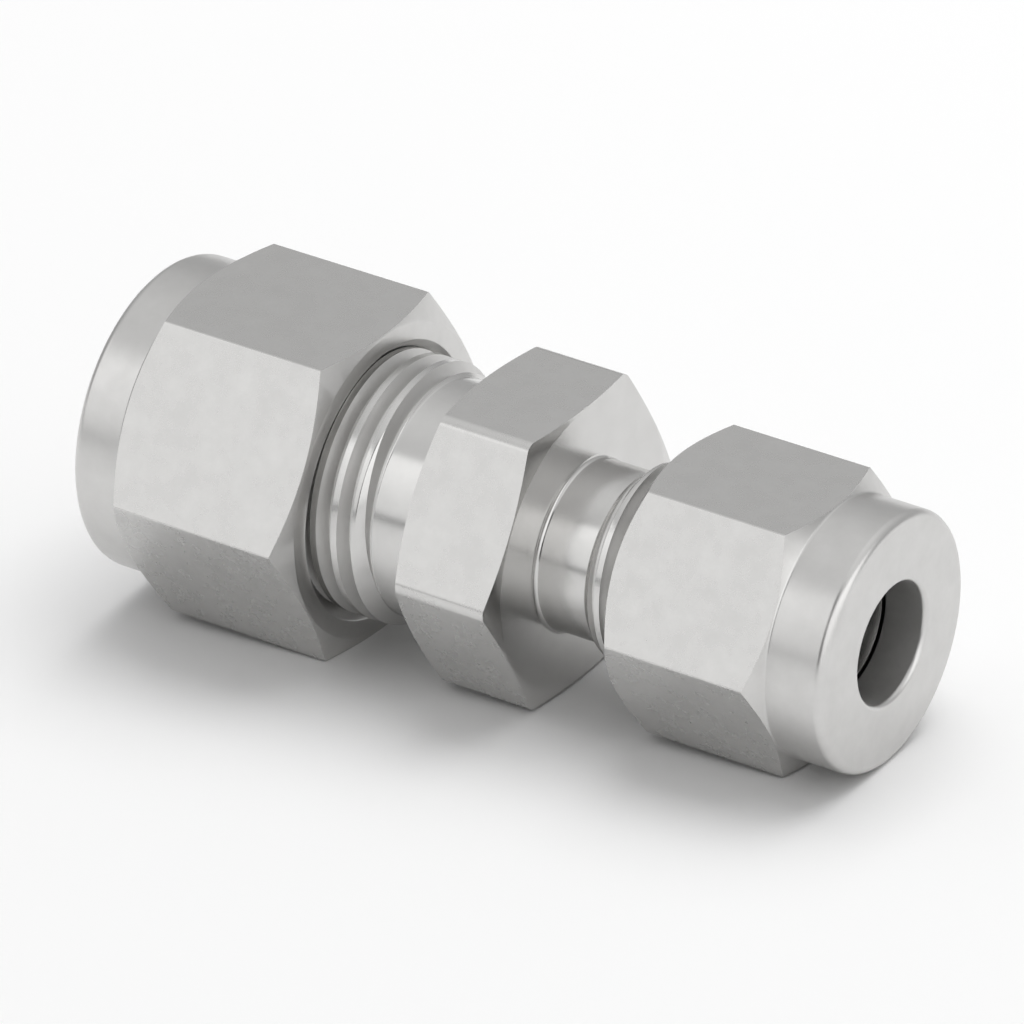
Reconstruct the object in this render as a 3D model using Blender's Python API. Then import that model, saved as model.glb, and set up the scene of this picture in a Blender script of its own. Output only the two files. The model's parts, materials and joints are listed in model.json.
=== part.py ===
"""Reducing union: a compression fitting that joins a 3/8 in tube (left, -X) to a 1/4 in tube (right, +X).

A turned hexagon body has a male thread at each end. Over each thread goes a hexagon nut, and inside
the nut lie a front ferrule and a back ferrule. The nut drives them into the cone in the body's mouth
and so on to the tube.

X is the axis of the tubes and of both nuts, +Z is up, every hexagon has a flat on top, and the origin
is half-way between the outer faces of the nuts. Sizes are in metres. The nuts stand finger-tight.
The threads are 20 to the inch and right-handed, and are drawn as plain cylinders at their crests.
"""

import math
from types import SimpleNamespace

import bmesh
import bpy
from mathutils import Matrix

# Tubes that the fitting takes, and what clears them
LARGE_TUBE_DIAMETER = 0.009525
SMALL_TUBE_DIAMETER = 0.00635
SOCKET_CLEARANCE = 0.00005
FERRULE_CLEARANCE = 0.00007
NUT_HOLE_CLEARANCE = 0.000125
THROUGH_BORE_DIAMETER = 0.0048

# Threads, with 1 1/4 turns of pull-up left in each nut
THREAD_PITCH = 0.00127
PULL_UP_TURNS = 1.25
THREAD_END_ROOM = 0.0005
THREAD_CLEARANCE = 0.0003

# Seats of the ferrules
SEAT_ANGLE = math.radians(20)
DRIVE_ANGLE = math.radians(15)
SEAT_GAP = 0.0002
FERRULE_LIP = 0.00025
FERRULE_SHOULDER = 0.00015
FERRULE_ROUND = 0.0002
FERRULE_BEVEL = 0.0009
FLANGE_STEP = 0.0001
CHAMBER_CLEARANCE = 0.00035

# Body: a hexagon with a plain neck on each side, between it and the thread
BODY_SHOULDER = 0.00079375  # from the large thread's crest to a flat, which makes 5/8 in across flats
HEXAGON_LENGTH = 0.00613
HEXAGON_LEFT_CHAMFER_ANGLE = math.radians(20)
HEXAGON_RIGHT_CHAMFER_ANGLE = math.radians(15)
HEXAGON_EDGE_ROUND = 0.00075
NECK_FILLET = 0.00025

# Large end of the body
LARGE_NECK_LENGTH = 0.00277
LARGE_NECK_DEPTH = 0.00064
LARGE_THREAD_LENGTH = 0.00988
LARGE_SEAT_DEPTH = 0.0034
LARGE_SHANK_WALL = 0.00109375  # from the mouth of the cone to the crest of the 9/16 in thread
LARGE_SOCKET_DEPTH = 0.0092
LARGE_THREAD_CHAMFER = 0.0006

# Small end of the body
SMALL_NECK_LENGTH = 0.00307
SMALL_NECK_DEPTH = 0.0009
SMALL_THREAD_LENGTH = 0.00865
SMALL_SEAT_DEPTH = 0.0031
SMALL_SHANK_WALL = 0.001203  # from the mouth of the cone to the crest of the 7/16 in thread
SMALL_SOCKET_DEPTH = 0.0083
SMALL_THREAD_CHAMFER = 0.0006

# Large ferrules
LARGE_FRONT_FERRULE_LENGTH = 0.0046
LARGE_FLANGE_LENGTH = 0.0016

# Small ferrules
SMALL_FRONT_FERRULE_LENGTH = 0.0042
SMALL_FLANGE_LENGTH = 0.0014

# Large nut
LARGE_NUT_WALL = 0.0012875  # from the thread's bore to a flat, which makes 11/16 in across flats
LARGE_NUT_LENGTH = 0.0142
LARGE_NUT_END_WALL = 0.0032
LARGE_COLLAR_STEP = 0.00012
LARGE_COLLAR_LENGTH = 0.00289
LARGE_COLLAR_ROUND = 0.0006
LARGE_OUTER_CHAMFER_ANGLE = math.radians(31)
LARGE_INNER_CHAMFER_ANGLE = math.radians(25)

# Small nut
SMALL_NUT_WALL = 0.0012875  # from the thread's bore to a flat, which makes 9/16 in across flats
SMALL_NUT_LENGTH = 0.01295
SMALL_NUT_END_WALL = 0.00287
SMALL_COLLAR_STEP = 0.00008
SMALL_COLLAR_LENGTH = 0.00332
SMALL_COLLAR_ROUND = 0.0005
SMALL_OUTER_CHAMFER_ANGLE = math.radians(30)
SMALL_INNER_CHAMFER_ANGLE = math.radians(34)

# Small features that both nuts share
HOLE_ROUND = 0.00028
COLLAR_FILLET = 0.00015
COUNTERSINK = 0.0002

# Every turned end of a hexagon: its face ends this far inside the flats, where the chamfer starts
FACE_STEP = 0.0001

# Fineness of the meshes
SEGMENTS = 48
ROUND_STEPS = 4
SHARP_ANGLE = math.radians(20)
WELD = 1e-7
CUTTER_MARGIN = 0.0002


def arc(x, radius, size, start, end):
    """Points of a round of the given size about (x, radius), from one angle in degrees to another."""
    angles = [math.radians(start + (end - start) * step / ROUND_STEPS) for step in range(ROUND_STEPS + 1)]
    return [(x + size * math.cos(angle), radius + size * math.sin(angle)) for angle in angles]


def corner_radius(flats):
    """From a hexagon's axis to its corners, given the distance from its axis to its flats."""
    return flats / math.cos(math.pi / 6)


def end_sizes(tube_diameter, seat_depth, shank_wall, socket_depth, thread_chamfer,
              ferrule_length, flange_length, nut_wall, nut_length, nut_end_wall, collar_step,
              collar_length, collar_round, outer_chamfer_angle, inner_chamfer_angle):
    """The sizes of one end. Its x runs outwards along the axis from the end face of the body."""
    end = SimpleNamespace(seat_depth=seat_depth, socket_depth=socket_depth,
                          thread_chamfer=thread_chamfer, ferrule_length=ferrule_length,
                          flange_length=flange_length, collar_length=collar_length,
                          collar_round=collar_round, outer_chamfer_angle=outer_chamfer_angle,
                          inner_chamfer_angle=inner_chamfer_angle)
    tube_radius = tube_diameter / 2
    end.socket_radius = tube_radius + SOCKET_CLEARANCE
    end.mouth_radius = end.socket_radius + seat_depth * math.tan(SEAT_ANGLE)
    end.thread_radius = end.mouth_radius + shank_wall

    # Front ferrule: its cone lies along the body's cone, one seat gap away
    end.ferrule_bore = tube_radius + FERRULE_CLEARANCE
    end.nose_radius = end.ferrule_bore + FERRULE_LIP
    end.ferrule_radius = end.mouth_radius + FERRULE_SHOULDER
    radial_gap = SEAT_GAP / math.cos(SEAT_ANGLE)
    end.nose_x = (end.nose_radius + radial_gap - end.socket_radius) / math.tan(SEAT_ANGLE) - seat_depth

    # Back ferrule: its nose lies in the front ferrule's bevel, its flange behind it
    end.front_rear_x = end.nose_x + ferrule_length
    end.flange_radius = end.ferrule_radius - FLANGE_STEP
    end.back_nose_x = end.front_rear_x - FERRULE_BEVEL + FERRULE_LIP + SEAT_GAP * math.sqrt(2)
    end.flange_x = end.front_rear_x + SEAT_GAP
    end.flange_rear_x = end.flange_x + flange_length

    # Nut: its drive face lies along the rear of the back ferrule
    end.chamber_radius = end.ferrule_radius + CHAMBER_CLEARANCE
    drive_slope = math.tan(DRIVE_ANGLE)
    end.drive_x = (end.flange_rear_x + SEAT_GAP / math.cos(DRIVE_ANGLE)
                   - (end.chamber_radius - end.flange_radius) * drive_slope)
    end.hole_radius = tube_radius + NUT_HOLE_CLEARANCE
    end.hole_x = end.drive_x + (end.chamber_radius - end.hole_radius) * drive_slope
    end.nut_outer_x = end.drive_x + nut_end_wall
    end.nut_inner_x = end.nut_outer_x - nut_length
    end.nut_bore = end.thread_radius + THREAD_CLEARANCE
    end.nut_flats = end.nut_bore + nut_wall
    end.thread_stop_x = PULL_UP_TURNS * THREAD_PITCH + THREAD_END_ROOM
    end.nut_mouth = end.nut_bore + COUNTERSINK
    end.nut_face_radius = end.nut_flats - FACE_STEP
    end.collar_radius = end.nut_flats - collar_step
    return end


LARGE = end_sizes(LARGE_TUBE_DIAMETER, LARGE_SEAT_DEPTH, LARGE_SHANK_WALL, LARGE_SOCKET_DEPTH,
                  LARGE_THREAD_CHAMFER, LARGE_FRONT_FERRULE_LENGTH, LARGE_FLANGE_LENGTH,
                  LARGE_NUT_WALL, LARGE_NUT_LENGTH, LARGE_NUT_END_WALL, LARGE_COLLAR_STEP,
                  LARGE_COLLAR_LENGTH, LARGE_COLLAR_ROUND, LARGE_OUTER_CHAMFER_ANGLE,
                  LARGE_INNER_CHAMFER_ANGLE)
SMALL = end_sizes(SMALL_TUBE_DIAMETER, SMALL_SEAT_DEPTH, SMALL_SHANK_WALL, SMALL_SOCKET_DEPTH,
                  SMALL_THREAD_CHAMFER, SMALL_FRONT_FERRULE_LENGTH, SMALL_FLANGE_LENGTH,
                  SMALL_NUT_WALL, SMALL_NUT_LENGTH, SMALL_NUT_END_WALL, SMALL_COLLAR_STEP,
                  SMALL_COLLAR_LENGTH, SMALL_COLLAR_ROUND, SMALL_OUTER_CHAMFER_ANGLE,
                  SMALL_INNER_CHAMFER_ANGLE)

# Places along the axis, from the hexagon's left end, then moved so that the origin is half-way
LARGE_REACH = LARGE_NECK_LENGTH + LARGE_THREAD_LENGTH
SMALL_REACH = HEXAGON_LENGTH + SMALL_NECK_LENGTH + SMALL_THREAD_LENGTH
HEXAGON_LEFT_X = (LARGE_REACH + LARGE.nut_outer_x - SMALL_REACH - SMALL.nut_outer_x) / 2
HEXAGON_RIGHT_X = HEXAGON_LEFT_X + HEXAGON_LENGTH
LARGE_END_X = HEXAGON_LEFT_X - LARGE_REACH
SMALL_END_X = HEXAGON_LEFT_X + SMALL_REACH


def steel(name, colour, roughness):
    """A stainless steel of the given colour."""
    material = bpy.data.materials.new(name)
    material.use_nodes = True
    shader = material.node_tree.nodes["Principled BSDF"]
    shader.inputs["Base Color"].default_value = (*colour, 1)
    shader.inputs["Metallic"].default_value = 1
    shader.inputs["Roughness"].default_value = roughness
    return material


def made(name, shape, material):
    """An object of this mesh, shaded smooth on its round faces only."""
    mesh = bpy.data.meshes.new(name)
    bmesh.ops.recalc_face_normals(shape, faces=shape.faces)
    shape.to_mesh(mesh)
    shape.free()
    mesh.shade_smooth()
    mesh.set_sharp_from_angle(angle=SHARP_ANGLE)
    mesh.materials.append(material)
    piece = bpy.data.objects.new(name, mesh)
    bpy.context.collection.objects.link(piece)
    return piece


def turned(name, outline, material):
    """A turned ring: a closed outline of (x, radius) points, spun once round the X axis."""
    shape = bmesh.new()
    corners = [shape.verts.new((x, 0, radius)) for x, radius in outline]
    edges = [shape.edges.new(pair) for pair in zip(corners, corners[1:] + corners[:1])]
    bmesh.ops.spin(shape, geom=corners + edges, cent=(0, 0, 0), axis=(1, 0, 0), angle=math.tau,
                   steps=SEGMENTS, use_merge=True)
    bmesh.ops.remove_doubles(shape, verts=shape.verts, dist=WELD)
    return made(name, shape, material)


def cut_to_hexagon(piece, flats, left_x, right_x, edge_round=0):
    """Keeps of a turned piece what lies inside a hexagon bar, whose long edges may be rounded."""
    shape = bmesh.new()
    length = right_x - left_x + 2 * CUTTER_MARGIN
    along_x = Matrix.Rotation(math.pi / 2, 4, "Y")
    bmesh.ops.create_cone(shape, cap_ends=True, segments=6, radius1=corner_radius(flats),
                          radius2=corner_radius(flats), depth=length, matrix=along_x)
    bmesh.ops.translate(shape, verts=shape.verts, vec=((left_x + right_x) / 2, 0, 0))
    if edge_round:
        long_edges = [edge for edge in shape.edges if edge.calc_length() > length - WELD]
        bmesh.ops.bevel(shape, geom=long_edges, offset=edge_round * math.tan(math.pi / 6),
                        offset_type="OFFSET", segments=ROUND_STEPS, profile=0.5, affect="EDGES")
    bar = made(piece.name + "_bar", shape, piece.data.materials[0])
    bar.hide_render = True
    bar.display_type = "WIRE"
    bar.parent = piece
    flats_cut = piece.modifiers.new("flats", "BOOLEAN")
    flats_cut.operation = "INTERSECT"
    flats_cut.object = bar
    return piece


def body_outline():
    """The union body from the large end's mouth, over its outside to the small end, and back inside."""
    flats = LARGE.thread_radius + BODY_SHOULDER
    past_corners = corner_radius(flats) + CUTTER_MARGIN
    face_radius = flats - FACE_STEP
    chamfer_height = past_corners - face_radius
    large_neck_radius = LARGE.thread_radius - LARGE_NECK_DEPTH
    small_neck_radius = SMALL.thread_radius - SMALL_NECK_DEPTH
    large_neck_x = HEXAGON_LEFT_X - LARGE_NECK_LENGTH
    small_neck_x = HEXAGON_RIGHT_X + SMALL_NECK_LENGTH
    through_radius = THROUGH_BORE_DIAMETER / 2

    large_shank = [
        (LARGE_END_X, LARGE.mouth_radius),
        (LARGE_END_X, LARGE.thread_radius - LARGE.thread_chamfer),
        (LARGE_END_X + LARGE.thread_chamfer, LARGE.thread_radius),
        (large_neck_x - LARGE_NECK_DEPTH, LARGE.thread_radius),
        (large_neck_x, large_neck_radius),
    ]
    large_fillet = arc(HEXAGON_LEFT_X - NECK_FILLET, large_neck_radius + NECK_FILLET, NECK_FILLET, 270, 360)
    hexagon = [
        (HEXAGON_LEFT_X, face_radius),
        (HEXAGON_LEFT_X + chamfer_height * math.tan(HEXAGON_LEFT_CHAMFER_ANGLE), past_corners),
        (HEXAGON_RIGHT_X - chamfer_height * math.tan(HEXAGON_RIGHT_CHAMFER_ANGLE), past_corners),
        (HEXAGON_RIGHT_X, face_radius),
    ]
    small_fillet = arc(HEXAGON_RIGHT_X + NECK_FILLET, small_neck_radius + NECK_FILLET, NECK_FILLET, 180, 270)
    small_shank = [
        (small_neck_x, small_neck_radius),
        (small_neck_x + SMALL_NECK_DEPTH, SMALL.thread_radius),
        (SMALL_END_X - SMALL.thread_chamfer, SMALL.thread_radius),
        (SMALL_END_X, SMALL.thread_radius - SMALL.thread_chamfer),
        (SMALL_END_X, SMALL.mouth_radius),
    ]
    inside = [
        (SMALL_END_X - SMALL.seat_depth, SMALL.socket_radius),
        (SMALL_END_X - SMALL.socket_depth, SMALL.socket_radius),
        (SMALL_END_X - SMALL.socket_depth, through_radius),
        (LARGE_END_X + LARGE.socket_depth, through_radius),
        (LARGE_END_X + LARGE.socket_depth, LARGE.socket_radius),
        (LARGE_END_X + LARGE.seat_depth, LARGE.socket_radius),
    ]
    return large_shank + large_fillet + hexagon + small_fillet + small_shank + inside


def nut_outline(end):
    """A nut from the tube hole's edge, over the collar and the hexagon to its mouth, and back inside."""
    past_corners = corner_radius(end.nut_flats) + CUTTER_MARGIN
    outer_slope = math.tan(end.outer_chamfer_angle)
    inner_slope = math.tan(end.inner_chamfer_angle)
    collar_end_x = end.nut_outer_x - end.collar_length
    fillet_x = collar_end_x + COLLAR_FILLET * math.tan(math.pi / 4 - end.outer_chamfer_angle / 2)

    hole_edge = arc(end.nut_outer_x - HOLE_ROUND, end.hole_radius + HOLE_ROUND, HOLE_ROUND, -90, 0)
    collar_edge = arc(end.nut_outer_x - end.collar_round, end.collar_radius - end.collar_round,
                      end.collar_round, 0, 90)
    collar_fillet = arc(fillet_x, end.collar_radius + COLLAR_FILLET, COLLAR_FILLET, -90,
                        math.degrees(end.outer_chamfer_angle) - 180)
    hexagon = [
        (collar_end_x - (past_corners - end.collar_radius) * outer_slope, past_corners),
        (end.nut_inner_x + (past_corners - end.nut_face_radius) * inner_slope, past_corners),
        (end.nut_inner_x, end.nut_face_radius),
    ]
    inside = [
        (end.nut_inner_x, end.nut_mouth),
        (end.nut_inner_x + end.nut_mouth - end.nut_bore, end.nut_bore),
        (end.thread_stop_x, end.nut_bore),
        (end.thread_stop_x + end.nut_bore - end.chamber_radius, end.chamber_radius),
        (end.drive_x, end.chamber_radius),
        (end.hole_x, end.hole_radius),
    ]
    return hole_edge + collar_edge + collar_fillet + hexagon + inside


def front_ferrule_outline(end):
    """A cone that fits the body's mouth, with a bevel in its rear for the back ferrule."""
    rear_x = end.front_rear_x
    shoulder_x = end.nose_x + (end.ferrule_radius - end.nose_radius) / math.tan(SEAT_ANGLE)
    rear_edge = arc(rear_x - FERRULE_ROUND, end.ferrule_radius - FERRULE_ROUND, FERRULE_ROUND, 0, 90)
    return [
        (end.nose_x, end.ferrule_bore),
        (rear_x - FERRULE_BEVEL, end.ferrule_bore),
        (rear_x, end.ferrule_bore + FERRULE_BEVEL),
        *rear_edge,
        (shoulder_x, end.ferrule_radius),
        (end.nose_x, end.nose_radius),
    ]


def back_ferrule_outline(end):
    """A flange with a pointed nose, and a coned rear face that the nut drives."""
    nose_length = end.flange_x - end.back_nose_x
    rear_bore_x = end.flange_rear_x + (end.flange_radius - end.ferrule_bore) * math.tan(DRIVE_ANGLE)
    front_edge = arc(end.flange_x + FERRULE_ROUND, end.flange_radius - FERRULE_ROUND, FERRULE_ROUND, 180, 90)
    return [
        (end.back_nose_x, end.ferrule_bore),
        (end.back_nose_x, end.nose_radius),
        (end.flange_x, end.nose_radius + nose_length),
        *front_edge,
        (end.flange_rear_x, end.flange_radius),
        (rear_bore_x, end.ferrule_bore),
    ]


def end_frame(name, x, turn, mark_size):
    """An empty at the body's end face, on the axis of the nut's turn and slide, its X outwards."""
    frame = bpy.data.objects.new(name, None)
    frame.empty_display_size = mark_size
    frame.location = (x, 0, 0)
    frame.rotation_euler = (0, 0, turn)
    bpy.context.collection.objects.link(frame)
    return frame


def build_end(name, end, x, turn, nut_steel, ferrule_steel):
    """The two ferrules and the nut of one end."""
    frame = end_frame(name + "_end", x, turn, end.thread_radius)
    front = turned(name + "_front_ferrule", front_ferrule_outline(end), ferrule_steel)
    back = turned(name + "_back_ferrule", back_ferrule_outline(end), ferrule_steel)
    nut = turned(name + "_nut", nut_outline(end), nut_steel)
    cut_to_hexagon(nut, end.nut_flats, end.nut_inner_x, end.nut_outer_x)
    for piece in (front, back, nut):
        piece.parent = frame


def main():
    for thing in list(bpy.data.objects):
        bpy.data.objects.remove(thing)
    body_steel = steel("body steel", (0.64, 0.63, 0.61), 0.22)
    nut_steel = steel("nut steel", (0.62, 0.61, 0.6), 0.34)
    ferrule_steel = steel("ferrule steel", (0.55, 0.54, 0.52), 0.25)
    body = turned("union_body", body_outline(), body_steel)
    cut_to_hexagon(body, LARGE.thread_radius + BODY_SHOULDER, LARGE_END_X, SMALL_END_X, HEXAGON_EDGE_ROUND)
    build_end("large", LARGE, LARGE_END_X, math.pi, nut_steel, ferrule_steel)
    build_end("small", SMALL, SMALL_END_X, 0, nut_steel, ferrule_steel)


main()
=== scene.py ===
# %% [markdown]
# # A reducing union in stainless steel
#
# A reducing union joins a tube to a thinner one in line. Its body and its two nuts start as hexagon
# bar: the flats keep the bar's drawn skin, and everything round is cut on a lathe. This lesson makes
# each piece in the same order, so that every surface can take the finish of the tool that made it.
#
# The frame holds the engineering model: seven plain solids, in metres, with +X along the tubes
# towards the thinner one and +Z up. It's loaded first, and nothing in it is moved or resized.

# %% Load the frame
import json
import math

import bpy
from mathutils import Euler, Matrix, Vector

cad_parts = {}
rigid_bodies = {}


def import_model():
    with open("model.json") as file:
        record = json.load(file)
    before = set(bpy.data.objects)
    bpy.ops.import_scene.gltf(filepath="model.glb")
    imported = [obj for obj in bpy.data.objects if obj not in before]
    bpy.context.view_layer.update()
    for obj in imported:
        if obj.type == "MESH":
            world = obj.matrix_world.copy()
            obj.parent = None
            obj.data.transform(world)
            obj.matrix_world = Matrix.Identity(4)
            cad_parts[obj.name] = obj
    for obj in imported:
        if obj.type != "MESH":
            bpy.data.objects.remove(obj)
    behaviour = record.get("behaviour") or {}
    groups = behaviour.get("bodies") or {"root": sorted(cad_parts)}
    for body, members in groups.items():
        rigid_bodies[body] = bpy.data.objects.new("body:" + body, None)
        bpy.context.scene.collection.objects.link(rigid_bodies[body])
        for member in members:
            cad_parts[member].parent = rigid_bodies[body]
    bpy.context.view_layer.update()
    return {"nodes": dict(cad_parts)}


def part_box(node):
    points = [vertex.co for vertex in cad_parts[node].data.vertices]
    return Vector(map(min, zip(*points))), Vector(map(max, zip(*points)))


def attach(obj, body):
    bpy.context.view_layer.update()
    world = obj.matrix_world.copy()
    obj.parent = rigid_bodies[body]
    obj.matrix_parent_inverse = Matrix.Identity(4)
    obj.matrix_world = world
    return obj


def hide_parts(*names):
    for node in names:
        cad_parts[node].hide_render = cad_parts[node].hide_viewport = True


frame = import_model()
MM = 0.001

# %% [markdown]
# ## The camera
#
# The photograph was taken from the small nut's side and from above, through a long lens: lines that
# are parallel on the fitting stay almost parallel in the picture. So the camera stands half a metre
# away, which is far for something 45 mm long, and its lens is long enough to fill the picture. It
# could be moved about by hand until the view looks right. Here its place was worked out instead,
# from where the corners of the three hexagons lie in the picture.

# %% Place the camera
CAMERA_AZIMUTH = math.radians(33.26)
CAMERA_ELEVATION = math.radians(30.09)
CAMERA_ROLL = math.radians(-0.28)
CAMERA_DISTANCE = 0.4993
CAMERA_LENS_MM = 341.6
SENSOR_WIDTH_MM = 36
NEAREST_SEEN = 0.01
AIM = Vector((0.00182, -0.00364, 0.00304))

camera_data = bpy.data.cameras.new("camera")
camera_data.lens = CAMERA_LENS_MM
camera_data.sensor_width = SENSOR_WIDTH_MM
camera_data.clip_start = NEAREST_SEEN
camera = bpy.data.objects.new("camera", camera_data)
bpy.context.collection.objects.link(camera)
turn_to_view = Euler((math.pi / 2 - CAMERA_ELEVATION, 0, CAMERA_AZIMUTH)).to_matrix().to_4x4()
roll = Matrix.Rotation(CAMERA_ROLL, 4, "Z")
step_back = Matrix.Translation((0, 0, CAMERA_DISTANCE))
camera.matrix_world = Matrix.Translation(AIM) @ turn_to_view @ roll @ step_back
bpy.context.scene.camera = camera
print("camera at, in mm:", [round(value / MM, 1) for value in camera.matrix_world.translation])

# %% [markdown]
# ## Five finishes of one steel
#
# All the metal is the same stainless steel, so all the materials share a colour. What differs is
# the surface. The flats are satin, with a grain that is too fine to see. The nuts' turned faces
# carry rings from the lathe, which stretch the highlights. The body's turned faces are nearly
# polished, so they mirror the room. The threads, cut with a pointed tool, are duller, and the
# drilled holes are the roughest.
#
# The grain could be painted as a picture, but it would have to be wrapped round every piece. Noise
# needs no wrapping, because it fills the space that the piece stands in. Squeezed along X, it
# changes quickly along the axis and hardly at all round it, and so it makes the lathe's rings.

# %% A helper for grain
GRAIN_DETAIL = 3


def add_grain(material, size, along, around, depth):
    """Bumps of the given size, stretched along X or round it."""
    nodes, links = material.node_tree.nodes, material.node_tree.links
    place = nodes.new("ShaderNodeTexCoord")
    stretch = nodes.new("ShaderNodeMapping")
    stretch.inputs["Scale"].default_value = (1 / along, 1 / around, 1 / around)
    grain = nodes.new("ShaderNodeTexNoise")
    grain.inputs["Scale"].default_value = 1 / size
    grain.inputs["Detail"].default_value = GRAIN_DETAIL
    bump = nodes.new("ShaderNodeBump")
    bump.inputs["Strength"].default_value = 1
    bump.inputs["Distance"].default_value = depth
    links.new(place.outputs["Object"], stretch.inputs["Vector"])
    links.new(stretch.outputs["Vector"], grain.inputs["Vector"])
    links.new(grain.outputs["Fac"], bump.inputs["Height"])
    links.new(bump.outputs["Normal"], nodes["Principled BSDF"].inputs["Normal"])


# %% [markdown]
# Handling and cleaning leave faint clouds on steel. A second noise, larger and softer, makes them:
# it varies the roughness by a few parts in a hundred, and the colour between two greys.

# %% A helper for clouds
STEEL = (0.69, 0.685, 0.675)
DULL_STEEL = (0.58, 0.575, 0.565)
CLOUD_DETAIL = 6
CLOUD_ROUGHNESS = 0.65
CLOUD_LOW = 0.3
CLOUD_HIGH = 0.7
SPREAD = 0.15


def add_clouds(material, size, roughness):
    """Clouds of the given size, in roughness and in colour."""
    nodes, links = material.node_tree.nodes, material.node_tree.links
    shader = nodes["Principled BSDF"]
    place = nodes.new("ShaderNodeTexCoord")
    cloud = nodes.new("ShaderNodeTexNoise")
    cloud.inputs["Scale"].default_value = 1 / size
    cloud.inputs["Detail"].default_value = CLOUD_DETAIL
    cloud.inputs["Roughness"].default_value = CLOUD_ROUGHNESS
    spread = nodes.new("ShaderNodeMapRange")
    spread.inputs["From Min"].default_value = CLOUD_LOW
    spread.inputs["From Max"].default_value = CLOUD_HIGH
    spread.inputs["To Min"].default_value = roughness * (1 - SPREAD / 2)
    spread.inputs["To Max"].default_value = roughness * (1 + SPREAD / 2)
    tint = nodes.new("ShaderNodeMix")
    tint.data_type = "RGBA"
    tint.inputs["A"].default_value = (*STEEL, 1)
    tint.inputs["B"].default_value = (*DULL_STEEL, 1)
    links.new(place.outputs["Object"], cloud.inputs["Vector"])
    links.new(cloud.outputs["Fac"], spread.inputs["Value"])
    links.new(spread.outputs["Result"], shader.inputs["Roughness"])
    links.new(cloud.outputs["Fac"], tint.inputs["Factor"])
    links.new(tint.outputs["Result"], shader.inputs["Base Color"])


# %% Mix the finishes
def steel(name, roughness, grain_size, grain_along, grain_around, depth, cloud_size):
    """A finish of the steel, with its grain and its clouds."""
    material = bpy.data.materials.new(name)
    material.use_nodes = True
    material.node_tree.nodes["Principled BSDF"].inputs["Metallic"].default_value = 1
    add_grain(material, grain_size, grain_along, grain_around, depth)
    add_clouds(material, cloud_size, roughness)
    return material


bar_steel = steel("bar_steel", roughness=0.27, grain_size=0.14 * MM, grain_along=2, grain_around=1,
                  depth=0.0005 * MM, cloud_size=1.4 * MM)
turned_steel = steel("turned_steel", roughness=0.31, grain_size=0.16 * MM, grain_along=1, grain_around=25,
                     depth=0.0004 * MM, cloud_size=1.6 * MM)
polished_steel = steel("polished_steel", roughness=0.2, grain_size=0.16 * MM, grain_along=1,
                       grain_around=25, depth=0.0006 * MM, cloud_size=2 * MM)
thread_steel = steel("thread_steel", roughness=0.36, grain_size=0.16 * MM, grain_along=1, grain_around=25,
                     depth=0.0006 * MM, cloud_size=2 * MM)
bored_steel = steel("bored_steel", roughness=0.5, grain_size=0.12 * MM, grain_along=1, grain_around=15,
                    depth=0.001 * MM, cloud_size=1 * MM)
finishes = (bar_steel, turned_steel, polished_steel, thread_steel, bored_steel)
print("finishes:", [one.name for one in finishes])

# %% [markdown]
# ## Outlines, borrowed from the solids
#
# A turned piece is one outline spun round its axis. The solids already hold those outlines, on the
# half-plane from the axis through +Y, where the hexagons have a corner and so their full width.
# They could be drawn again, point by point, but then two drawings would have to agree. So each
# outline is cut out of a copy of its solid: the copy's loose triangles are merged, and then
# all corners that aren't on that half-plane are deleted. What stays is one closed loop of edges.
# The solids have 48 sides. Spinning the same loop in finer steps gives the same piece, but smooth.

# %% Take an outline
WELD = 1e-6
ON_PLANE = 2e-6


def pick(piece):
    """Makes this the one selected, active object, out of edit mode."""
    if bpy.context.mode != "OBJECT":
        bpy.ops.object.mode_set(mode="OBJECT")
    bpy.ops.object.select_all(action="DESELECT")
    piece.select_set(True)
    bpy.context.view_layer.objects.active = piece


def select_corners(piece, wanted):
    """Selects the corners that the test wants, and stays in edit mode, in vertex mode."""
    pick(piece)
    bpy.ops.object.mode_set(mode="EDIT")
    bpy.context.tool_settings.mesh_select_mode = (True, False, False)
    bpy.ops.mesh.select_all(action="DESELECT")
    bpy.ops.object.mode_set(mode="OBJECT")
    for corner in piece.data.vertices:
        corner.select = wanted(corner.co)
    bpy.ops.object.mode_set(mode="EDIT")


def outline_of(node, name):
    """The outline of a turned solid, as a loop of edges with X along the axis and Y as radius."""
    piece = bpy.data.objects.new(name, frame["nodes"][node].data.copy())
    bpy.context.collection.objects.link(piece)
    select_corners(piece, lambda place: True)
    bpy.ops.mesh.remove_doubles(threshold=WELD)
    select_corners(piece, lambda place: abs(place.z) > ON_PLANE or place.y < 0)
    bpy.ops.mesh.delete(type="VERT")
    pick(piece)
    piece.data.materials.clear()
    return piece


body = outline_of("union_body", "turned_body")
print("the body's outline has", len(body.data.vertices), "corners and", len(body.data.edges), "edges")

# %% [markdown]
# The solids are already cut to their hexagons, so these outlines end at the bar's rounded corners.
# The blank that goes into a lathe is wider: both chamfers are run on outwards, past the corners, so
# that the bar can cut them afresh.

# %% Widen the rim of an outline
RIM_STRETCH = 1.25


def neighbours_of(piece):
    """For each corner of an outline, the two next to it."""
    neighbours = {corner.index: [] for corner in piece.data.vertices}
    for edge in piece.data.edges:
        first, second = edge.vertices
        neighbours[first].append(second)
        neighbours[second].append(first)
    return neighbours


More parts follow.
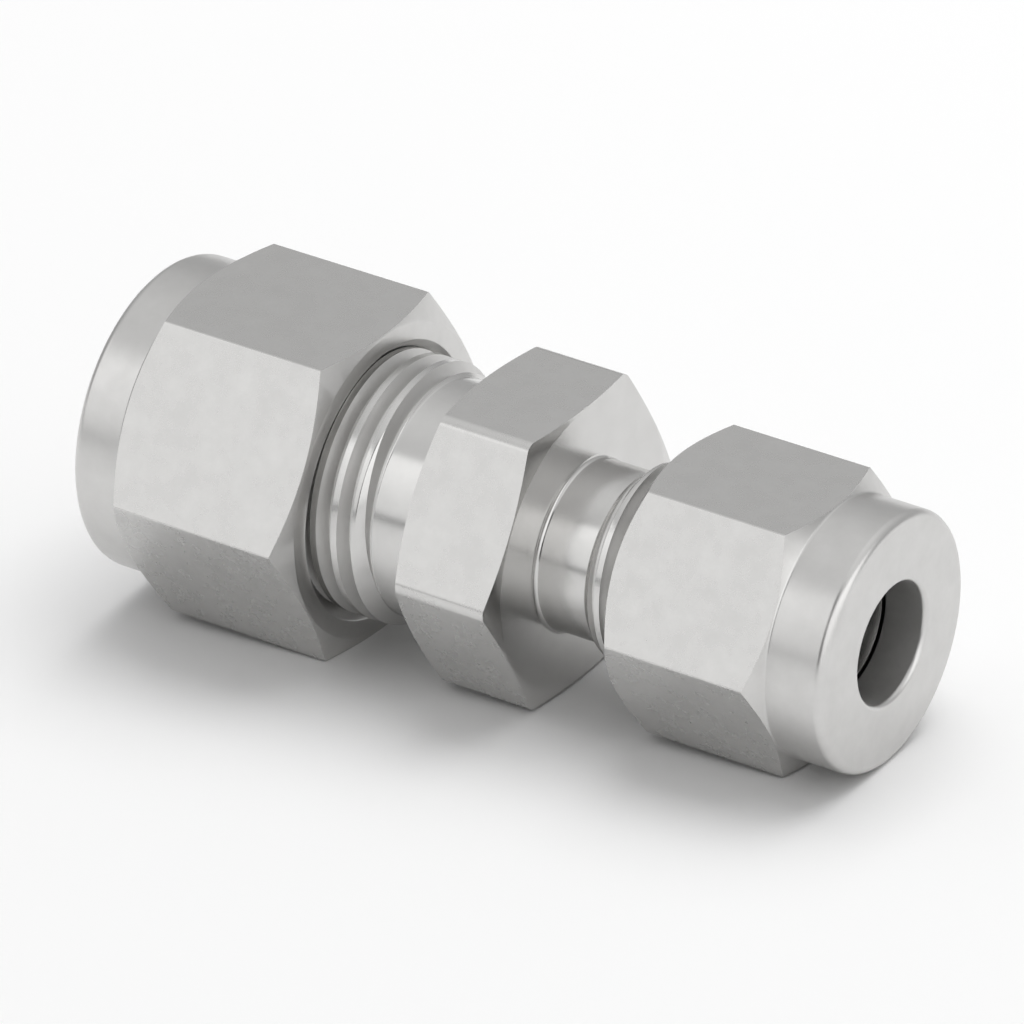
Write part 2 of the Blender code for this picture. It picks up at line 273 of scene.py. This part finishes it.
def widen_rim(piece):
    """Stretches both chamfers of the outline away from their inner ends."""
    corners = piece.data.vertices
    rim_radius = max(corner.co.y for corner in corners)
    chamfers = []
    for here, nearby in neighbours_of(piece).items():
        if corners[here].co.y > rim_radius - ON_PLANE:
            for inner in nearby:
                if corners[inner].co.y < rim_radius - ON_PLANE:
                    chamfers.append((corners[here].co.copy(), corners[inner].co.copy()))
    for outer_end, inner_end in chamfers:
        select_corners(piece, lambda place: (place - outer_end).length < WELD)
        bpy.ops.transform.resize(value=(RIM_STRETCH, RIM_STRETCH, 1), center_override=inner_end)
    pick(piece)
    return rim_radius


print("the body's rim, before it's widened, in mm:", round(widen_rim(body) / MM, 2))

# %% [markdown]
# ## Broken edges
#
# A lathe hand never leaves an edge razor-sharp: a touch of the file takes off a few hundredths of a
# millimetre, and that tiny chamfer is what glints along every real edge. It could be bevelled on the
# finished piece, where the flats and threads make that hard. Here it's made on the outline, with a
# bevel of its sharp corners, before the spin. Then one spin makes it all round.
# The outline's small arcs are steps of short edges, and these are left as they are.

# %% Break the edges of an outline
EDGE_BREAK = 0.045 * MM
SHARP_TURN = math.radians(25)
FLAT_TURN = math.radians(14)
LONGEST_ARC_STEP = 0.2 * MM


def break_edges(piece):
    """Bevels the outline where it turns, and leaves the corners of its arcs alone."""
    corners = piece.data.vertices
    sharp = set()
    for here, (before, after) in neighbours_of(piece).items():
        one_way = corners[here].co - corners[before].co
        other_way = corners[after].co - corners[here].co
        turn = one_way.angle(other_way)
        is_long = min(one_way.length, other_way.length) > LONGEST_ARC_STEP
        if turn > SHARP_TURN or (is_long and turn > FLAT_TURN):
            sharp.add(tuple(corners[here].co))
    select_corners(piece, lambda place: tuple(place) in sharp)
    bpy.ops.mesh.bevel(offset=EDGE_BREAK, segments=2, affect="VERTICES")
    pick(piece)
    return len(sharp)


print("edges broken on the body:", break_edges(body))

# %% [markdown]
# ## Spinning
#
# The spin copies the outline round the X axis. At 144 steps each facet of the large thread is a
# third of a millimetre wide, too small to see. The last copy lands on the first, so doubles are
# merged. A spin may come out inside out, so the normals are recalculated before anything is cut.
# The thread tools further down turn in the same steps, from the same side, which keeps their cuts
# on the facets' edges and the crests clean.

# %% Spin an outline
STEPS_A_TURN = 144


def spin(piece, finish):
    """Turns an outline into a closed ring with this finish."""
    select_corners(piece, lambda place: True)
    bpy.ops.mesh.spin(steps=STEPS_A_TURN, angle=math.tau, center=(0, 0, 0), axis=(1, 0, 0))
    bpy.ops.mesh.select_all(action="SELECT")
    bpy.ops.mesh.remove_doubles(threshold=WELD)
    bpy.ops.mesh.normals_make_consistent(inside=False)
    pick(piece)
    piece.data.materials.append(finish)
    return piece


spin(body, polished_steel)
print("the turned body has", len(body.data.polygons), "faces")

# %% [markdown]
# ## Flats from the bar
#
# Milling isn't needed: the hexagon is the bar itself. So the turned ring is cut to what lies inside
# a hexagon bar, with a Boolean that keeps the intersection. The body's bar is drawn with well
# rounded long edges, the nuts' bar with almost sharp ones. The Boolean also hands over materials:
# faces that come from the ring stay turned, and faces that come from the bar are satin bar skin,
# without selecting a single face.

# %% Cut to hexagon bar
BODY_EDGE_ROUND = 0.75 * MM
NUT_EDGE_ROUND = 0.12 * MM
BAR_SPARE = 0.5 * MM


def cut(piece, tool, operation):
    """Applies the tool to the piece, which gets the tool's finish where it was cut."""
    modifier = piece.modifiers.new("cut", "BOOLEAN")
    modifier.operation = operation
    modifier.object = tool
    modifier.solver = "EXACT"
    modifier.material_mode = "TRANSFER"
    pick(piece)
    bpy.ops.object.modifier_apply(modifier="cut")
    pick(tool)
    bpy.ops.object.delete()
    pick(piece)


def cut_to_bar(piece, node, edge_round, segments):
    """Leaves of the piece what a hexagon bar of its node's width holds."""
    low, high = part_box(node)
    radius = high.z / math.cos(math.pi / 6)
    pick(piece)
    bpy.ops.mesh.primitive_cylinder_add(
        vertices=6, radius=radius, depth=high.x - low.x + 2 * BAR_SPARE,
        location=((low.x + high.x) / 2, 0, 0), rotation=(0, math.pi / 2, 0))
    bar = bpy.context.object
    bpy.ops.object.transform_apply(location=True, rotation=True, scale=True)
    bar.data.materials.append(bar_steel)
    pick(bar)
    bpy.ops.object.mode_set(mode="EDIT")
    bpy.context.tool_settings.mesh_select_mode = (False, True, False)
    bpy.ops.mesh.select_all(action="DESELECT")
    bpy.ops.object.mode_set(mode="OBJECT")
    corners = bar.data.vertices
    for edge in bar.data.edges:
        first, second = edge.vertices
        edge.select = abs(corners[first].co.x - corners[second].co.x) > BAR_SPARE
    bpy.ops.object.mode_set(mode="EDIT")
    bpy.ops.mesh.bevel(offset=edge_round * math.tan(math.pi / 6), segments=segments, affect="EDGES")
    pick(bar)
    cut(piece, bar, "INTERSECT")
    return high.z * 2


width = cut_to_bar(body, "union_body", BODY_EDGE_ROUND, segments=8)
print("the body's flats are", round(width / MM, 3), "mm apart")

# %% [markdown]
# ## Real threads
#
# Both ends of the body have 20 threads to the inch, right-handed. On the lathe a 60 degree tool
# cuts them while it moves one pitch along for each turn, so that's how they are made here: the
# tool's section is a plane, narrowed at the tip, that a Screw modifier sweeps along its path, and
# a Boolean takes that sweep out of the body. Beside the hexagon both threads run out into a plain
# neck that is as deep as the groove, and there the tool is free to come out: the last rings of the
# sweep are lifted step by step.

# %% Sweep a thread tool
THREAD_PITCH = 1.27 * MM
THREAD_HALF_ANGLE = math.radians(30)
OVERCUT = 0.07 * MM
SECTION_CORNERS = 4


def thread_tool(name, tip_width, tip_radius, open_radius, start_x, turns, lifted_turns=0):
    """A swept V that is narrow at the tip and passes the open radius by a little."""
    outward = 1 if open_radius > tip_radius else -1
    depth = abs(open_radius - tip_radius) + OVERCUT
    width = tip_width + 2 * depth * math.tan(THREAD_HALF_ANGLE)
    middle = tip_radius + outward * depth / 2
    bpy.ops.object.select_all(action="DESELECT")
    bpy.ops.mesh.primitive_plane_add(size=1, location=(start_x, middle, 0))
    tool = bpy.context.object
    tool.name = name
    tool.dimensions = (width, depth, 0)
    bpy.ops.object.transform_apply(location=True, rotation=True, scale=True)
    select_corners(tool, lambda place: abs(place.y - tip_radius) < depth / 2)
    bpy.ops.transform.resize(value=(tip_width / width, 1, 1), center_override=(start_x, tip_radius, 0))
    bpy.ops.mesh.select_all(action="SELECT")
    bpy.ops.mesh.delete(type="ONLY_FACE")
    pick(tool)
    sweep = tool.modifiers.new("sweep", "SCREW")
    sweep.axis = "X"
    sweep.angle = math.tau * turns
    sweep.screw_offset = THREAD_PITCH * turns
    sweep.steps = sweep.render_steps = round(STEPS_A_TURN * turns)
    bpy.ops.object.modifier_apply(modifier="sweep")

    corners = tool.data.vertices
    first_lifted = len(corners) // SECTION_CORNERS - round(STEPS_A_TURN * lifted_turns)
    for corner in corners:
        ring = corner.index // SECTION_CORNERS
        if lifted_turns and ring > first_lifted:
            share = (ring - first_lifted) / (STEPS_A_TURN * lifted_turns)
            corner.co += Vector((0, corner.co.y, corner.co.z)).normalized() * outward * depth * share

    select_corners(tool, lambda place: True)
    bpy.ops.mesh.fill_holes(sides=0)
    bpy.ops.mesh.normals_make_consistent(inside=False)
    pick(tool)
    tool.data.materials.append(thread_steel)
    return tool


# %% [markdown]
# The thread is a true helix, so where it starts fixes where it lies all round. Its place was found
# from the grooves that show between the large nut and the neck. The nuts' threads start half a
# pitch from the body's, so that the ridges of one lie in the grooves of the other.

# %% Cut the body's threads
BODY_THREAD_TIP = 0.14 * MM
BODY_THREAD_TURNS = 8
LARGE_CREST_RADIUS = 7.14375 * MM
LARGE_ROOT_RADIUS = 6.49 * MM
LARGE_GROOVE_X = -5.674 * MM
LARGE_NECK_TURNS = 0.56
LARGE_LIFT_TURNS = 0.3
SMALL_CREST_RADIUS = 5.55625 * MM
SMALL_ROOT_RADIUS = 4.86 * MM
SMALL_GROOVE_X = 6.92 * MM

tool = thread_tool("large_thread_tool", BODY_THREAD_TIP, LARGE_ROOT_RADIUS, LARGE_CREST_RADIUS,
                   LARGE_GROOVE_X - BODY_THREAD_TURNS * THREAD_PITCH,
                   BODY_THREAD_TURNS + LARGE_NECK_TURNS + LARGE_LIFT_TURNS,
                   lifted_turns=LARGE_LIFT_TURNS)
cut(body, tool, "DIFFERENCE")
tool = thread_tool("small_thread_tool", BODY_THREAD_TIP, SMALL_ROOT_RADIUS, SMALL_CREST_RADIUS,
                   SMALL_GROOVE_X, BODY_THREAD_TURNS)
cut(body, tool, "DIFFERENCE")
print("the threaded body has", len(body.data.polygons), "faces")

# %% [markdown]
# ## The nuts
#
# The nuts are made the same way, with one more step. Their solids have a plain bore that clears
# the body's thread, so the outline's bore is first moved in to the real one. Its mouth gets the
# wide countersink that leads a nut on to its thread, and then the thread is cut from inside. The
# body's ridges are blunt, so the nuts' tool has a tip that is a little wider than they are. The
# tube's hole is drilled, and left rougher than what is turned.

# %% Helpers for a nut's bore and its hole
SAME_RADIUS = 0.01 * MM


def move_bore(piece, from_radius, to_radius):
    """Moves the bore of the outline in, and the inner end of its countersink as far along."""
    step = from_radius - to_radius
    select_corners(piece, lambda place: abs(place.y - from_radius) < SAME_RADIUS)
    bpy.ops.transform.translate(value=(0, -step, 0))
    low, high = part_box("union_body")
    towards_nut = 1 if piece.data.vertices[0].co.x > 0 else -1
    select_corners(piece, lambda place: abs(place.y - to_radius) < SAME_RADIUS
                   and low.x < place.x < high.x)
    bpy.ops.transform.translate(value=(step * towards_nut, 0, 0))
    pick(piece)


def finish_hole(piece):
    """Gives the narrowest faces, those of the tube's hole, the drilled finish."""
    radii = [Vector((0, face.center.y, face.center.z)).length for face in piece.data.polygons]
    piece.data.materials.append(bored_steel)
    for face, radius in zip(piece.data.polygons, radii):
        if radius < min(radii) + SAME_RADIUS:
            face.material_index = 1


# %% Make the nuts
THREAD_PLAY = 0.04 * MM
NUT_THREAD_TIP = 0.38 * MM
LARGE_PLAIN_BORE_RADIUS = 7.44375 * MM
SMALL_PLAIN_BORE_RADIUS = 5.85625 * MM


def make_nut(node, name, plain_radius, crest_radius, root_radius, start_x, turns):
    """A nut from its outline, its bar and the sweep of its thread tool."""
    nut = outline_of(node, name)
    widen_rim(nut)
    move_bore(nut, plain_radius, root_radius + THREAD_PLAY)
    break_edges(nut)
    spin(nut, turned_steel)
    finish_hole(nut)
    cut_to_bar(nut, node, NUT_EDGE_ROUND, segments=3)
    tool = thread_tool(name + "_tool", NUT_THREAD_TIP, crest_radius + THREAD_PLAY,
                       root_radius + THREAD_PLAY, start_x, turns)
    cut(nut, tool, "DIFFERENCE")
    print(name, "has", len(nut.data.polygons), "faces")
    return nut


large_nut = make_nut("large_nut", "large_hexagon_nut", LARGE_PLAIN_BORE_RADIUS, LARGE_CREST_RADIUS,
                     LARGE_ROOT_RADIUS, LARGE_GROOVE_X - 8.5 * THREAD_PITCH, turns=7)
small_nut = make_nut("small_nut", "small_hexagon_nut", SMALL_PLAIN_BORE_RADIUS, SMALL_CREST_RADIUS,
                     SMALL_ROOT_RADIUS, SMALL_GROOVE_X + 1.5 * THREAD_PITCH, turns=6.4)

# %% [markdown]
# ## The ferrules
#
# Each nut traps two rings: a front ferrule, whose cone enters the body, and a back ferrule behind
# it. Only their edges show in the nuts' holes, and for that the plain solids would nearly do. But
# they come out when a nut is taken off, so they are turned from their outlines like the rest.

# %% Turn the ferrules
ferrules = {}
for node in ("large_front_ferrule", "large_back_ferrule", "small_front_ferrule", "small_back_ferrule"):
    ring = outline_of(node, node.replace("ferrule", "ring"))
    break_edges(ring)
    spin(ring, polished_steel)
    ferrules[node] = ring
print("ferrules:", list(ferrules))

# %% [markdown]
# ## Shading
#
# Round faces are shaded smooth, and real edges stay sharp. Shading by angle alone would do for most
# of them, but where a thread runs out, its groove meets the ramp beside it at a very blunt angle.
# That border is where two tools met, so it's a real edge too. So each finish's faces are selected
# in turn, and the loop round them is marked sharp, in face mode, because the loop leaves edge mode
# behind. A flat face next to a round edge must look flat right up to that edge, so the normals are
# weighted by the faces' areas.

# %% Shade the pieces
SMOOTH_UNDER = math.radians(35)
pieces = (body, large_nut, small_nut, *ferrules.values())
for piece in pieces:
    pick(piece)
    bpy.ops.object.shade_smooth()
    bpy.ops.object.mode_set(mode="EDIT")
    bpy.context.tool_settings.mesh_select_mode = (False, True, False)
    bpy.ops.mesh.select_all(action="DESELECT")
    bpy.ops.mesh.edges_select_sharp(sharpness=SMOOTH_UNDER)
    bpy.ops.mesh.mark_sharp()
    for slot in range(len(piece.material_slots)):
        bpy.context.tool_settings.mesh_select_mode = (False, False, True)
        bpy.ops.mesh.select_all(action="DESELECT")
        piece.active_material_index = slot
        bpy.ops.object.material_slot_select()
        bpy.ops.mesh.region_to_loop()
        bpy.ops.mesh.mark_sharp()
    pick(piece)
    weighted = piece.modifiers.new("weighted", "WEIGHTED_NORMAL")
    weighted.keep_sharp = True
    bpy.ops.object.modifier_apply(modifier="weighted")
print("faces in all:", sum(len(piece.data.polygons) for piece in pieces))

# %% [markdown]
# ## Riding on the frame
#
# Each finished piece stands for one solid, rides on that solid's body, and moves with it when a nut
# is unscrewed.

# %% Put the pieces on their bodies
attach(body, "union_body")
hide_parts("union_body")
for nut, node in ((large_nut, "large_nut"), (small_nut, "small_nut")):
    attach(nut, node)
    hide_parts(node)
for node, ring in ferrules.items():
    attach(ring, node.split("_")[0] + "_ferrules")
    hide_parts(node)
print("riding:", [piece.name for piece in pieces])

# %% [markdown]
# ## Floor
#
# The fitting lies on white paper. It rests on the large nut's lowest flat and on the small nut's
# collar, which is thinner. The fitting could be tipped to lie on a level table, but it isn't moved
# here, so the table tips instead, by the small angle between those two. It's a large circle, so that
# no corner of it shows in the metal.

# %% Lay the floor
FLOOR_RADIUS = 0.6
PAPER = 0.96
COLLAR_RADIUS = 7.06 * MM
large_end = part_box("large_nut")[1]
small_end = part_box("small_nut")[1]
tilt = math.atan2(large_end.z - COLLAR_RADIUS, small_end.x - large_end.x)
bpy.ops.object.select_all(action="DESELECT")
bpy.ops.mesh.primitive_circle_add(vertices=96, radius=FLOOR_RADIUS, fill_type="NGON",
                                  location=(large_end.x, 0, -large_end.z), rotation=(0, -tilt, 0))
floor = bpy.context.object
floor.name = "floor"
paper = bpy.data.materials.new("paper")
paper.use_nodes = True
paper_shader = paper.node_tree.nodes["Principled BSDF"]
paper_shader.inputs["Base Color"].default_value = (PAPER, PAPER, PAPER, 1)
paper_shader.inputs["Roughness"].default_value = 1
paper_shader.inputs["Specular IOR Level"].default_value = 0
floor.data.materials.append(paper)
print("the floor tilts by", round(math.degrees(tilt), 2), "degrees")

# %% [markdown]
# ## Light
#
# Metal shows what's round it, so the light is mostly a matter of what stands where. A ready-made
# picture of a studio could light it, but not this studio. The photograph tells what stood where,
# because each face of the fitting mirrors one direction: the room is dim at the back and brighter
# overhead, and something bright stands in front and on the right. So it's built up from a few lamps,
# each placed by the direction that it comes from.

# %% Helpers for the light
def facing(azimuth, elevation, distance):
    """Where a thing stands that faces the fitting. Azimuth 0 is towards -Y and 90 towards +X."""
    turned = Euler((math.pi / 2 - math.radians(elevation), 0, math.radians(azimuth))).to_matrix().to_4x4()
    return turned @ Matrix.Translation((0, 0, distance))


def softbox(name, place, width, height, radiance):
    """A rectangular lamp."""
    data = bpy.data.lights.new(name, "AREA")
    data.shape = "RECTANGLE"
    data.size = width
    data.size_y = height
    data.energy = radiance * math.pi * width * height
    lamp = bpy.data.objects.new(name, data)
    bpy.context.collection.objects.link(lamp)
    lamp.matrix_world = place
    return lamp


# %% [markdown]
# Two soft panels stand in front and on the right, from just above the table up to 49 degrees. They
# are there for the metal alone, so they don't fill the shadow under the fitting. A lamp high up at
# the back does the opposite: it whitens the paper and lays the shadow in front, and the metal
# doesn't mirror it.

# %% Light the studio
key = softbox("key", facing(azimuth=170, elevation=72, distance=0.8), width=0.7, height=0.7, radiance=2.1)
key.visible_glossy = False
for side, azimuth, width, radiance in (("left", -40, 0.81, 0.74), ("right", 64, 1.35, 0.95)):
    panel = softbox(side + "_panel", facing(azimuth=azimuth, elevation=26, distance=0.7),
                    width=width, height=0.6, radiance=radiance)
    panel.visible_diffuse = False
    print(panel.name, "is", panel.data.size, "m wide")

# %% [markdown]
# Dark cloth hangs in the gap between the panels. It draws the thin dark line along the small
# collar's edge and across the necks, and the camera looks straight through it.

# %% Hang the dark cloth
CLOTH_WIDTH = 0.4
CLOTH_HEIGHT = 1.2
CLOTH_GREY = 0.03
bpy.ops.object.select_all(action="DESELECT")
bpy.ops.mesh.primitive_plane_add(size=1)
cloth = bpy.context.object
cloth.name = "dark_cloth"
cloth.dimensions = (CLOTH_WIDTH, CLOTH_HEIGHT, 0)
bpy.ops.object.transform_apply(location=True, rotation=True, scale=True)
cloth.matrix_world = facing(azimuth=5, elevation=30, distance=1)
cloth.visible_camera = False
black = bpy.data.materials.new("black_cloth")
black.use_nodes = True
black_shader = black.node_tree.nodes["Principled BSDF"]
black_shader.inputs["Base Color"].default_value = (CLOTH_GREY, CLOTH_GREY, CLOTH_GREY, 1)
black_shader.inputs["Roughness"].default_value = 1
cloth.data.materials.append(black)
print("the cloth hangs at, in m:", [round(value, 2) for value in cloth.matrix_world.translation])

# %% [markdown]
# The rest of the room is the world, a soft brightness that comes from every direction. A ceiling
# and walls could give it too, but they would take far more tracing. It gets brighter towards the
# back, and with the square of the height, so that it's brightest straight overhead.

# %% Paint the room
ROOM = 0.36
OVERHEAD = 0.6
BACK = 0.13

world = bpy.data.worlds.new("studio")
bpy.context.scene.world = world
world.use_nodes = True
nodes, links = world.node_tree.nodes, world.node_tree.links
direction = nodes.new("ShaderNodeTexCoord")
split = nodes.new("ShaderNodeSeparateXYZ")
height = nodes.new("ShaderNodeMath")
height.operation = "MULTIPLY"
towards_back = nodes.new("ShaderNodeMath")
towards_back.operation = "MULTIPLY_ADD"
towards_back.inputs[1].default_value = BACK
towards_back.inputs[2].default_value = ROOM
brightness = nodes.new("ShaderNodeMath")
brightness.operation = "MULTIPLY_ADD"
brightness.inputs[1].default_value = OVERHEAD
links.new(direction.outputs["Generated"], split.inputs["Vector"])
links.new(split.outputs["Z"], height.inputs[0])
links.new(split.outputs["Z"], height.inputs[1])
links.new(split.outputs["Y"], towards_back.inputs[0])
links.new(height.outputs["Value"], brightness.inputs[0])
links.new(towards_back.outputs["Value"], brightness.inputs[2])
links.new(brightness.outputs["Value"], nodes["Background"].inputs["Strength"])
nodes["Background"].inputs["Color"].default_value = (1, 1, 1, 1)

bpy.context.scene.view_settings.view_transform = "Standard"
print("the room is", ROOM + OVERHEAD, "overhead and", ROOM + BACK, "at the back")
